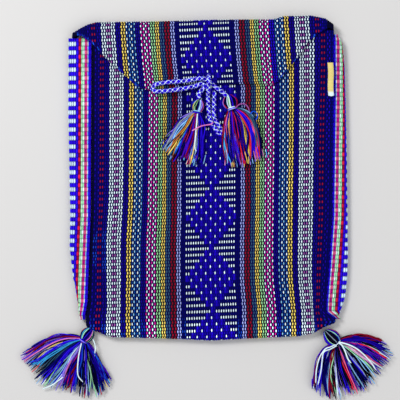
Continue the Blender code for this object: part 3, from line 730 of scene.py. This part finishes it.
def tubes(strands, sides=2):
    """A mesh of round yarns: each strand is (points in mm, radius in mm, colour)."""
    bm = bmesh.new()
    colours = []
    for points, radius, colour in strands:
        curve = bpy.data.curves.new("strand", "CURVE")
        curve.dimensions = "3D"
        thick = np.max(radius)
        curve.bevel_depth = thick * MM
        curve.bevel_resolution = sides - 2
        curve.use_fill_caps = True
        spline = curve.splines.new("POLY")
        spline.points.add(len(points) - 1)
        flat = np.c_[np.asarray(points) * MM, np.ones(len(points))]
        spline.points.foreach_set("co", flat.ravel())
        taper = np.ones(len(points)) * radius / thick
        taper[-1] *= 0.6
        spline.points.foreach_set("radius", taper)
        holder = bpy.data.objects.new("strand", curve)
        mesh = bpy.data.meshes.new_from_object(holder)
        count = len(bm.faces)
        bm.from_mesh(mesh)
        colours.append(np.repeat(np.asarray(colour)[None, :], len(bm.faces) - count, axis=0))
        bpy.data.objects.remove(holder)
        bpy.data.meshes.remove(mesh)
        bpy.data.curves.remove(curve)
    return bm, np.concatenate(colours)


def strand_piece(name, strands, finish, nodes, sides=4):
    bm, colours = tubes(strands, sides)
    mesh = bpy.data.meshes.new(name)
    bm.to_mesh(mesh)
    bm.free()
    colour_faces(mesh, colours)
    return piece(name, mesh, finish, nodes)


def smooth_path(points, step=0.8):
    """Points every step along a Catmull-Rom curve through the given ones."""
    points = np.asarray(points, float)
    padded = np.vstack([2 * points[0] - points[1], points, 2 * points[-1] - points[-2]])
    t = np.linspace(0, 1, 24, endpoint=False)[:, None]
    dense = []
    for a, b, c, d in zip(padded, padded[1:], padded[2:], padded[3:]):
        dense.append(0.5 * (2 * b + (c - a) * t + (2 * a - 5 * b + 4 * c - d) * t ** 2
                            + (3 * b - a - 3 * c + d) * t ** 3))
    dense = np.vstack(dense + [points[-1:]])
    run = np.concatenate([[0], np.cumsum(np.linalg.norm(np.diff(dense, axis=0), axis=1))])
    stops = np.linspace(0, run[-1], max(int(run[-1] / step), 4) + 1)
    return np.c_[[np.interp(stops, run, dense[:, axis]) for axis in range(3)]].T, run[-1]


def carried_frames(path):
    """Tangents with a side and an up direction carried along the path without twist."""
    tangents = np.gradient(path, axis=0)
    tangents /= np.linalg.norm(tangents, axis=1)[:, None]
    side = np.cross(tangents[0], [0.0, 0.0, 1.0])
    if np.linalg.norm(side) < 0.1:
        side = np.cross(tangents[0], [1.0, 0.0, 0.0])
    sides = []
    for tangent in tangents:
        side = side - tangent * np.dot(side, tangent)
        side = side / np.linalg.norm(side)
        sides.append(side)
    sides = np.array(sides)
    return tangents, sides, np.cross(tangents, sides)


def braid(name, points, diameter, nodes, colours, pitch=8.4):
    """Twelve yarns plaited round: six wind one way and six the other, over and under in turn."""
    path, length = smooth_path(points, 0.45)
    _, sides, ups = carried_frames(path)
    run = np.linspace(0, length, len(path))
    sway = 0.25 * np.sin(run / 3.1) + 0.2 * np.sin(run / 1.7 + 1.0)
    strands = []
    for number, colour in enumerate(colours):
        way = 1 if number < 6 else -1
        angle = way * (2 * math.pi * run / pitch + sway * 0.4) + math.pi / 3 * (number % 6)
        over = np.cos(6 * (angle - way * math.pi / 3 * (number % 6)) + math.pi * (number % 2))
        rise = diameter * 0.36 + way * diameter * 0.05 * over
        line = path + sides * (rise * np.cos(angle))[:, None] + ups * (rise * np.sin(angle))[:, None]
        strands.append((line, diameter * 0.112, colour))
    strands.append((path, diameter * 0.30, dye("violet")))
    obj = strand_piece(name, strands, BRAID_YARN, nodes, 3)
    return obj, path, length


CORD_REST = 0.4 + CORD / 2      # height of a lying cord's centreline above the cloth


def on_front(x, y, extra=0.0):
    return (x, y, float(top_surface(np.array(x), np.array(y))) + CORD_REST + extra)


def on_flap(x, y, extra=0.0):
    return on_front(x, y, CLOTH + LAY_GAP + extra)


F, L = on_front, on_flap
# From the left tassel through the knot, round the bow and back through the knot to the right tassel.
TIE_PATH = [F(-9.2, 63.6, 1.6), F(-9.7, 66.2, 1.8), L(-8.4, 69.0), L(-5.8, 71.4), L(-5.0, 73.6, 0.2),
            L(-7.2, 75.0, 0.2), L(-11.2, 73.6), L(-16.6, 72.2), L(-21.9, 71.2), L(-27.8, 70.3),
            L(-34.2, 69.5), L(-39.4, 69), L(-44.8, 69.2), L(-46.4, 71.8), L(-44.4, 74.4),
            L(-39.4, 75.6), L(-32.6, 76.4), L(-25.6, 76.9), L(-18.9, 77.6), L(-12.6, 78.8),
            L(-7.0, 79.2), L(-3.2, 77.9), L(0.2, 75.4), L(3.0, 72.6), L(5.6, 70.8), F(8.2, 69.0, 2.3),
            F(10.6, 66.9, 1.9), F(12.6, 65.0, 1.6)]
# Out of the front, down between the tassels, up over the knot and in through the flap.
LOOP_PATH = [(2.3, 69.2, 5.6), (2.6, 68.6, 9.0), (2.6, 68.6, 13.2), F(2.6, 67.0, 1.3),
             F(2.5, 63.6, 0.6), F(2.3, 60), F(2.2, 54), F(2.4, 48.8), F(4.7, 43.9), F(7.9, 39.4),
             F(9.3, 36.2), F(7.3, 34.4), F(4.8, 37.4), F(1.9, 41.5), F(-0.7, 46.4), F(-1.7, 52),
             F(-2.2, 58), F(-2.4, 64, 0.4), L(-2.3, 69, 1.2), L(-2.1, 72.6, 3.8), L(-1.9, 75.8, 4.4),
             L(-1.8, 79, 3.4), L(-1.8, 81.2, 0.2), (-1.8, 81, 13), (-1.8, 81, 9), (-1.8, 80.4, 5.6)]

BRAID_COLOURS = [dye(yarn) for yarn in ("royal", "white", "royal", "royal", "lilac", "violet",
                                        "royal", "royal", "white", "violet", "royal", "white")]
tie_cord, tie_path, tie_length = braid("braided_tie", TIE_PATH, 3.6, ["tie_cord"], BRAID_COLOURS)
closing_loop, loop_path, loop_length = braid("braided_loop", LOOP_PATH, 3.4, ["closing_loop"],
                                             BRAID_COLOURS)


# Tassels

def skirt(rng, neck, fan, tall, ground, yarn_counts, arch, under=34):
    """Yarns from the neck out into the fan, arched outwards, over a dark layer."""
    neck = np.array(neck, float)
    angles = [math.radians(angle) for angle, _ in fan]
    lengths = [length for _, length in fan]
    room = tall - 1.4
    strands = []

    def strand(share, length_share, layer, wave, phase, thick, colour, flare, start=0.0):
        angle = float(np.interp(share, np.linspace(0, 1, len(angles)), angles))
        length = float(np.interp(angle, angles, lengths)) * length_share
        way = np.array([math.cos(angle), math.sin(angle)])
        bow = np.array([-way[1], way[0]])
        lean = 2 * share - 1
        bend = (arch[0] if lean < 0 else arch[1]) * length * lean
        points = []
        for k in range(19):
            t = start + (1 - start) * k / 18
            side = bend * math.sin(math.pi * t ** 0.8) + 1.3 * lean * (1 - t) ** 2
            side += wave * math.sin(phase + (6.0 + phase * 0.5) * t) * min(t * 3, 1) + flare * t ** 3
            flat = neck + way * length * t + bow * side
            if t < 0.4:
                swell = math.sin(math.pi / 2 * min(t / 0.4, 1))
            else:
                swell = 1 - 0.55 * ((t - 0.4) / 0.6) ** 1.3
            rise = 0.6 + (0.25 + 0.75 * layer) * room * (0.42 + 0.58 * swell) * (0.55 if t > 0.98 else 1)
            rise = min(rise, room * (0.5 + 1.6 * t) + 0.6) if t < 0.3 else rise
            rise += 0.25 * math.sin(phase * 2 + 9 * t)
            below = float(ground(flat[0], flat[1]))
            points.append((flat[0], flat[1], below + max(rise, 0.55)))
        strands.append((points, thick, colour))

    for number in range(under):
        strand((number + 0.5) / under, rng.uniform(0.78, 0.92), 0.0, 0.3, rng.uniform(0, 6.28), 0.85,
               dye(("ink", "night", "navy")[number % 3]), 0.0)
    yarns = [yarn for yarn, count in yarn_counts for _ in range(count + (count > 1))]
    yarns = sorted((number + rng.gauss(0, 1.7), yarn) for number, yarn in enumerate(yarns))
    for number, (_, yarn) in enumerate(yarns):
        if number % 3 == 0:
            phase, wave = rng.uniform(0, 6.28), rng.uniform(0.3, 1.1)
            height, flare = rng.uniform(0.4, 1.0), rng.uniform(-1.6, 1.6)
        if rng.random() < 0.16:
            yarn = rng.choice(("violet", "navy", "night", "royal"))
        share = min(max((number + rng.uniform(-0.3, 1.3)) / len(yarns), 0.0), 1.0)
        strand(share, 0.82 + 0.2 * rng.random(), height * rng.uniform(0.7, 1.0), wave,
               phase + rng.uniform(-0.8, 0.8), 0.44 * rng.uniform(0.85, 1.2),
               dye(yarn) * rng.uniform(0.62, 1.12), flare + rng.uniform(-1.4, 1.4))
    for _ in range(26):                 # frayed tips
        yarn = rng.choice(("sky", "lilac", "pink", "cyan", "white", "crimson", "royal", "azure",
                           "yellow"))
        strand(rng.random(), rng.uniform(0.97, 1.05), rng.uniform(0.1, 0.7), rng.uniform(0.4, 1.2),
               rng.uniform(0, 6.28), 0.3, dye(yarn) * rng.uniform(0.7, 1.1), rng.uniform(-2.6, 2.6),
               rng.uniform(0.74, 0.88))
    return strands


def crown_yarns(rng, neck, head, across, tall, base, yarn_counts):
    """The head: yarns laid over a dark core from the neck to its top."""
    neck, head = np.array(neck, float), np.array(head, float)
    axis = (head - neck) / np.linalg.norm(head - neck)
    cross = np.array([-axis[1], axis[0]])
    reach = np.linalg.norm(head - neck) + across * 0.9
    middle = base + tall / 2
    strands = []
    inner = min(across, tall / 2) - 0.5
    spots = np.linspace(0.02, 0.98, 12)
    line = [(*(neck + axis * reach * t), middle) for t in spots]
    strands.append((line, inner * np.sin(math.pi * (0.16 + 0.78 * spots)), dye("ink")))
    yarns = [yarn for yarn, count in yarn_counts for _ in range(count)]
    for number, yarn in enumerate(yarns):
        turn = 2 * math.pi * (number + 0.3 * rng.random()) / len(yarns)
        lean = rng.uniform(-0.18, 0.18)
        points = []
        for k in range(13):
            t = k / 12
            swell = math.sin(math.pi * (0.14 + 0.80 * t)) ** 0.8
            ring = turn + lean * t * 2
            flat = neck + axis * (t * reach) + cross * (across * swell * math.cos(ring))
            height = max(middle + tall / 2 * swell * math.sin(ring), base + 0.5)
            points.append((flat[0], flat[1], height))
        strands.append((points, 0.44, dye(yarn) * rng.uniform(0.7, 1.1)))
    return strands


def binding_yarns(neck, head, radius, middle, colours, turns=3, thick=0.42, spread=1.9):
    """A yarn wound round the neck, in as many lengths as it has colours."""
    neck, head = np.array(neck, float), np.array(head, float)
    axis = (head - neck) / np.linalg.norm(head - neck)
    cross = np.array([-axis[1], axis[0]])
    strands = []
    a_turn = 14
    steps = turns * a_turn
    each = steps // len(colours)
    for part, colour in enumerate(colours):
        points = []
        for k in range(part * each, min((part + 1) * each, steps) + 1):
            angle = 2 * math.pi * k / a_turn
            flat = neck + axis * (spread * (k / steps - 0.35)) + cross * (radius[0] * math.cos(angle))
            points.append((flat[0], flat[1], middle + radius[1] * math.sin(angle)))
        strands.append((points, thick, colour))
    return strands


# Each tassel's neck and the middle of its head, and its fan as (angle, length).
TIE_LEFT_NECK, TIE_LEFT_HEAD = (-11.4, 52.4), (-10.0, 58.0)
TIE_LEFT_FAN = [(222, 36), (226, 40), (236, 40), (245, 43), (255, 38), (262, 42), (268, 42), (275, 40)]
TIE_RIGHT_NECK, TIE_RIGHT_HEAD = (16.6, 55.4), (15.0, 61.0)
TIE_RIGHT_FAN = [(264, 43), (270, 46), (276, 46), (285, 46), (296, 46), (304, 46)]
LOW_LEFT_NECK, LOW_LEFT_HEAD = (-102.8, -130.8), (-98.4, -124.6)
LOW_LEFT_FAN = [(187, 44), (198, 53), (206, 48), (222, 50), (237, 47), (249, 43), (265, 44.6), (281, 47),
                (290, 43.7), (305, 41)]
LOW_RIGHT_NECK, LOW_RIGHT_HEAD = (102.0, -133.0), (95.9, -126.7)
LOW_RIGHT_FAN = [(238, 40), (247, 42.3), (260, 44.6), (271, 45), (284, 42.6), (299, 44), (309, 42.7),
                 (323, 43), (337, 44), (351, 44), (366, 39)]


def bundles(text):
    """Yarn names and counts from a list such as "navy 5, grey"; a name alone is one yarn."""
    items = [item.split() for item in text.split(",")]
    return [(item[0], int(item[1]) if len(item) > 1 else 1) for item in items]


# The yarns across each fan, from its first angle to its last.
TIE_LEFT_YARNS = bundles(
    "lilac 4, mint 2, navy 5, grey 3, azure 3, sky 3, night 3, orange 2, yellow 3, cyan 4, "
    "azure 3, crimson 2, navy 4, purple 6, dark_red 3, violet 4, salmon 2, yellow 2, sky 3, "
    "grey 2, night 3, mint 2, crimson 3, royal 5, violet 3")
TIE_RIGHT_YARNS = bundles(
    "dark_red 4, cyan 3, salmon 2, night 4, azure 4, orange 2, yellow 2, navy 5, royal 4, "
    "purple 4, lilac 3, dark_red 3, night 4, crimson 2, violet 5, yellow 4, orange 2, "
    "crimson 3, royal 4, salmon 2, crimson 3, navy 4, teal 4, sky")
LOW_LEFT_YARNS = bundles(
    "dark_red 8, purple 3, lilac 3, pink 2, night 3, lavender 2, yellow 2, royal 3, cyan 5, "
    "ink 4, teal 4, night 3, royal 6, mint 3, sky 3, white 2, lilac 3, pink 2, magenta 3, "
    "violet 5, dark_red 3, royal 5, azure 4, ink 3, white 2, crimson, lilac 5, sky 3, mint 2, "
    "ink 4, violet 5, navy 6, grey, violet 5, azure 2, purple 3")
LOW_RIGHT_YARNS = bundles(
    "purple 4, dark_red 3, navy 3, white 3, royal 5, white 2, navy 5, violet 4, sky 2, "
    "dark_red 3, mint 2, ink 3, white 3, lilac 5, ink 3, mint, royal 3, ink 3, crimson 3, "
    "salmon 3, purple 4, sky 2, ink 6, navy 4, royal 3, grey 2, ink 5, sky 2, navy 3, mint 2, "
    "white 3, pink 2, salmon 2, azure 4, purple 4, crimson 2, white 2, ink 3, grey 2, "
    "violet 7, dark_red 7")
# The yarns over each head, from one side across the top to the other, then back underneath.
UNDERSIDE = bundles("night 8, navy 6, ink 4")
HEADS = [
    bundles("royal, azure, navy, yellow, ink, mint, green, ink 2, navy, sky, pale, lilac, navy, "
            "salmon, mauve, navy 2"),
    bundles("azure, lilac, navy, crimson, ink, navy, pale, mint, white, navy, royal 2, ink 2, navy, "
            "crimson, dark_red, purple"),
    bundles("dark_red, crimson, navy 2, ink, cyan, mint, navy, royal, navy 2, purple, pink, ink, "
            "teal, green, navy 2"),
    bundles("purple 2, royal 2, royal, mint, ink 3, grey, ink 2, navy, azure, mint, navy, purple, "
            "dark_red"),
]


def cloth_ground(x, y):
    return top_surface(np.array(x), np.array(y)) + 0.5


def floor_ground(x, y):
    return 0.0


def loose(points, yarn, ground, thick=0.5):
    """A loose yarn lying on the tassel: points are (x, y, height above what is below)."""
    placed = [(x, y, float(ground(x, y)) + lift) for x, y, lift in points]
    path, _ = smooth_path(placed, 1.6)
    return path, thick, dye(yarn)


def tassel(name, neck, head, fan, tall, ground, yarn_counts, crown, arch, node, seed, across, extra):
    """A tassel: its skirt, its head and the loose yarns that stand out.

    arch is how far the skirt's two sides bow outwards, and across the head's half width.
    """
    rng = random.Random(seed)
    base = float(ground(neck[0], neck[1]))
    strands = skirt(rng, neck, fan, tall, ground, yarn_counts, arch)
    strands += crown_yarns(rng, neck, head, across, tall * 0.92, base, crown + UNDERSIDE)
    strands += extra
    return strand_piece(name, strands, TASSEL_YARN, [node], 3)


TIE_TALL, LOW_TALL = 7.4, 9.0
tassel(
    "tie_tassel_left", TIE_LEFT_NECK, TIE_LEFT_HEAD, TIE_LEFT_FAN, TIE_TALL, cloth_ground,
    TIE_LEFT_YARNS, HEADS[0], (0.10, 0.12), "tassel_tie_left", 11, 4.8,
    [loose([(-10.8, 51.2, 5), (-11.4, 44, 7.4), (-12.3, 34.0, 7.6), (-12.9, 26.5, 6.4), (-12.6, 22.6, 5),
            (-10.4, 21.4, 3), (-7.6, 22.4, 2), (-6.0, 24.4, 1.2)], "white", cloth_ground),
     loose([(-15, 37.4, 8.0), (-11, 39.6, 8.0), (-7.0, 41.4, 6.6), (-2.6, 42.2, 4.8), (0.4, 42.8, 5.2),
            (1.6, 44.4, 5.2)], "pink", cloth_ground)])
tassel(
    "tie_tassel_right", TIE_RIGHT_NECK, TIE_RIGHT_HEAD, TIE_RIGHT_FAN, TIE_TALL, cloth_ground,
    TIE_RIGHT_YARNS, HEADS[1], (0.12, 0.26), "tassel_tie_right", 12, 5.8,
    [loose([(31.0, 50.4, 5.6), (33.2, 53.0, 4.4), (35.6, 52.6, 3.4), (37.1, 50.0, 3), (36.2, 47.0, 3.4),
            (34.1, 45.0, 4.4), (33.0, 41.0, 5)], "azure", cloth_ground),
     loose([(19.4, 55.6, 5), (22.6, 58.6, 4.2), (26.6, 59.0, 3.4), (29.6, 56.2, 3.2), (30.6, 52.6, 3.8)],
           "mauve", cloth_ground)])
tassel(
    "corner_tassel_left", LOW_LEFT_NECK, LOW_LEFT_HEAD, LOW_LEFT_FAN, LOW_TALL, floor_ground,
    LOW_LEFT_YARNS, HEADS[2], (0.17, 0.06), "tassel_corner_left", 13, 5.2,
    [loose([(-96.5, -128.6, 4.4), (-94.6, -130.4, 4.6), (-93.0, -136.0, 5.6), (-93.6, -143.0, 6.4),
            (-93.4, -150.0, 5.4), (-91.6, -156.0, 4.0)], "white", floor_ground),
     loose([(-104.2, -133.0, 6.0), (-106.0, -142.0, 8.6), (-107.0, -152.0, 8.4), (-106.6, -159.0, 7.0),
            (-103.0, -164.0, 5.0)], "white", floor_ground),
     loose([(-119.0, -160.0, 7.0), (-127.0, -166.0, 5.0), (-135.6, -170.0, 2.4)], "white",
           floor_ground)])
tassel(
    "corner_tassel_right", LOW_RIGHT_NECK, LOW_RIGHT_HEAD, LOW_RIGHT_FAN, LOW_TALL, floor_ground,
    LOW_RIGHT_YARNS, HEADS[3], (0.20, 0.14), "tassel_corner_right", 14, 6.0,
    [loose([(101.0, -132.4, 6.4), (104.6, -133.6, 7.6), (107.4, -138.6, 9.0), (109.8, -145.0, 9.0),
            (112.4, -148.4, 8.4)], "white", floor_ground, 0.6),
     loose([(102.0, -131.6, 6.4), (110.0, -133.6, 8.4), (117.0, -137.0, 8.8), (124.0, -143.0, 7.6),
            (130.4, -150.6, 5.4), (134.0, -157.0, 3.0)], "white", floor_ground, 0.6),
     loose([(101.0, -133.4, 6.2), (96.0, -135.6, 7.8), (91.6, -137.2, 8.8), (87.0, -144.2, 9.2),
            (84.6, -154.0, 8.8), (84.2, -164.5, 6.6)], "white", floor_ground, 0.5),
     loose([(101.2, -134.6, 6.4), (95.6, -137.4, 8.4), (91.2, -138.8, 9.4), (89.6, -142.0, 9.6),
            (88.3, -154.0, 9.2), (86.0, -166.0, 6.8)], "white", floor_ground, 0.5)])


TIE_LIFT, LOW_LIFT = 3.5, 3.9       # height of a neck's middle above what it lies on
for spot, neck, head, radius, ground, lift, yarns in (
        ("tie_left", TIE_LEFT_NECK, TIE_LEFT_HEAD, (2.9, 2.9), cloth_ground, TIE_LIFT,
         ("royal", "navy", "sky")),
        ("tie_right", TIE_RIGHT_NECK, TIE_RIGHT_HEAD, (3.1, 2.9), cloth_ground, TIE_LIFT,
         ("lavender", "royal", "white")),
        ("corner_left", LOW_LEFT_NECK, LOW_LEFT_HEAD, (3.1, 3.3), floor_ground, LOW_LIFT,
         ("lilac", "royal", "navy")),
        ("corner_right", LOW_RIGHT_NECK, LOW_RIGHT_HEAD, (3.1, 3.3), floor_ground, LOW_LIFT,
         ("night", "white", "navy"))):
    windings = binding_yarns(neck, head, radius, float(ground(*neck)) + lift,
                             [dye(yarn) for yarn in yarns])
    strand_piece("neck_yarn_" + spot, windings, BINDING_YARN, ["binding_" + spot], 4)


# The label

LABEL_MIDDLE, LABEL_HALF = (96.0, 79.3), (2.3, 13.2)    # its middle and half its size across and along


def label_piece():
    """A folded strip of tape sewn in the right seam, pale at its lower end."""
    bm = bmesh.new()
    bmesh.ops.create_grid(bm, x_segments=6, y_segments=36, size=1.0)
    for vert in bm.verts:
        y = LABEL_MIDDLE[1] + LABEL_HALF[1] * vert.co.y
        y -= 0.7 * (1 - abs(vert.co.x)) * (vert.co.y < -0.9)
        x = LABEL_MIDDLE[0] + LABEL_HALF[0] * vert.co.x + 0.3 * math.sin(y / 4.2) - 0.35 * vert.co.y
        swell = 0.25 * math.sin(y / 3.1) + 0.5 * (1 - vert.co.x ** 2)
        vert.co = (x * MM, y * MM, (EDGE_Z + 1.0 + swell) * MM)
    bmesh.ops.solidify(bm, geom=bm.faces[:], thickness=-0.9 * MM)
    bmesh.ops.recalc_face_normals(bm, faces=bm.faces[:])
    mesh = bpy.data.meshes.new("label_tape_strip")
    bm.to_mesh(mesh)
    bm.free()
    heights = np.array([polygon.center.y for polygon in mesh.polygons]) / MM
    pale = ease((70.5 - heights) / 3)[:, None]
    colour_faces(mesh, dye("tape") * (1 - pale) + dye("white") * pale)
    return piece("label_tape_strip", mesh, LABEL_TAPE, ["side_label"])


label_piece()

# Floor, light and camera

bm = bmesh.new()
bmesh.ops.create_grid(bm, x_segments=1, y_segments=1, size=3.0)
floor_mesh = bpy.data.meshes.new("floor")
bm.to_mesh(floor_mesh)
bm.free()
floor = bpy.data.objects.new("floor", floor_mesh)
floor.location.z = -0.0002
bpy.context.scene.collection.objects.link(floor)
ground_finish = Finish("floor", 0.9, 0.0)
ground_finish.surface.inputs["Base Color"].default_value = (0.62, 0.61, 0.60, 1.0)
floor_mesh.materials.append(ground_finish.material)


def lamp(name, place, aim, size, energy):
    data = bpy.data.lights.new(name, "AREA")
    data.size, data.energy = size, energy
    obj = bpy.data.objects.new(name, data)
    obj.location = place
    obj.rotation_euler = (Vector(aim) - Vector(place)).to_track_quat("-Z", "Y").to_euler()
    bpy.context.scene.collection.objects.link(obj)


lamp("key", (-0.75, 0.65, 1.15), (0, 0, 0), 0.5, 16.0)
lamp("fill", (0.9, -0.4, 1.2), (0, 0, 0), 1.2, 6.4)
world = bpy.data.worlds.new("studio")
bpy.context.scene.world = world
world.use_nodes = True
world.node_tree.nodes["Background"].inputs["Color"].default_value = (0.95, 0.97, 1.0, 1.0)
world.node_tree.nodes["Background"].inputs["Strength"].default_value = 0.55

camera_data = bpy.data.cameras.new("camera")
camera_data.sensor_width, camera_data.lens = 36.0, 133.65
camera = bpy.data.objects.new("camera", camera_data)
camera.location = (-0.0088, -0.0176, 1.2)
bpy.context.scene.collection.objects.link(camera)
bpy.context.scene.camera = camera
bpy.context.scene.view_settings.view_transform = "Standard"
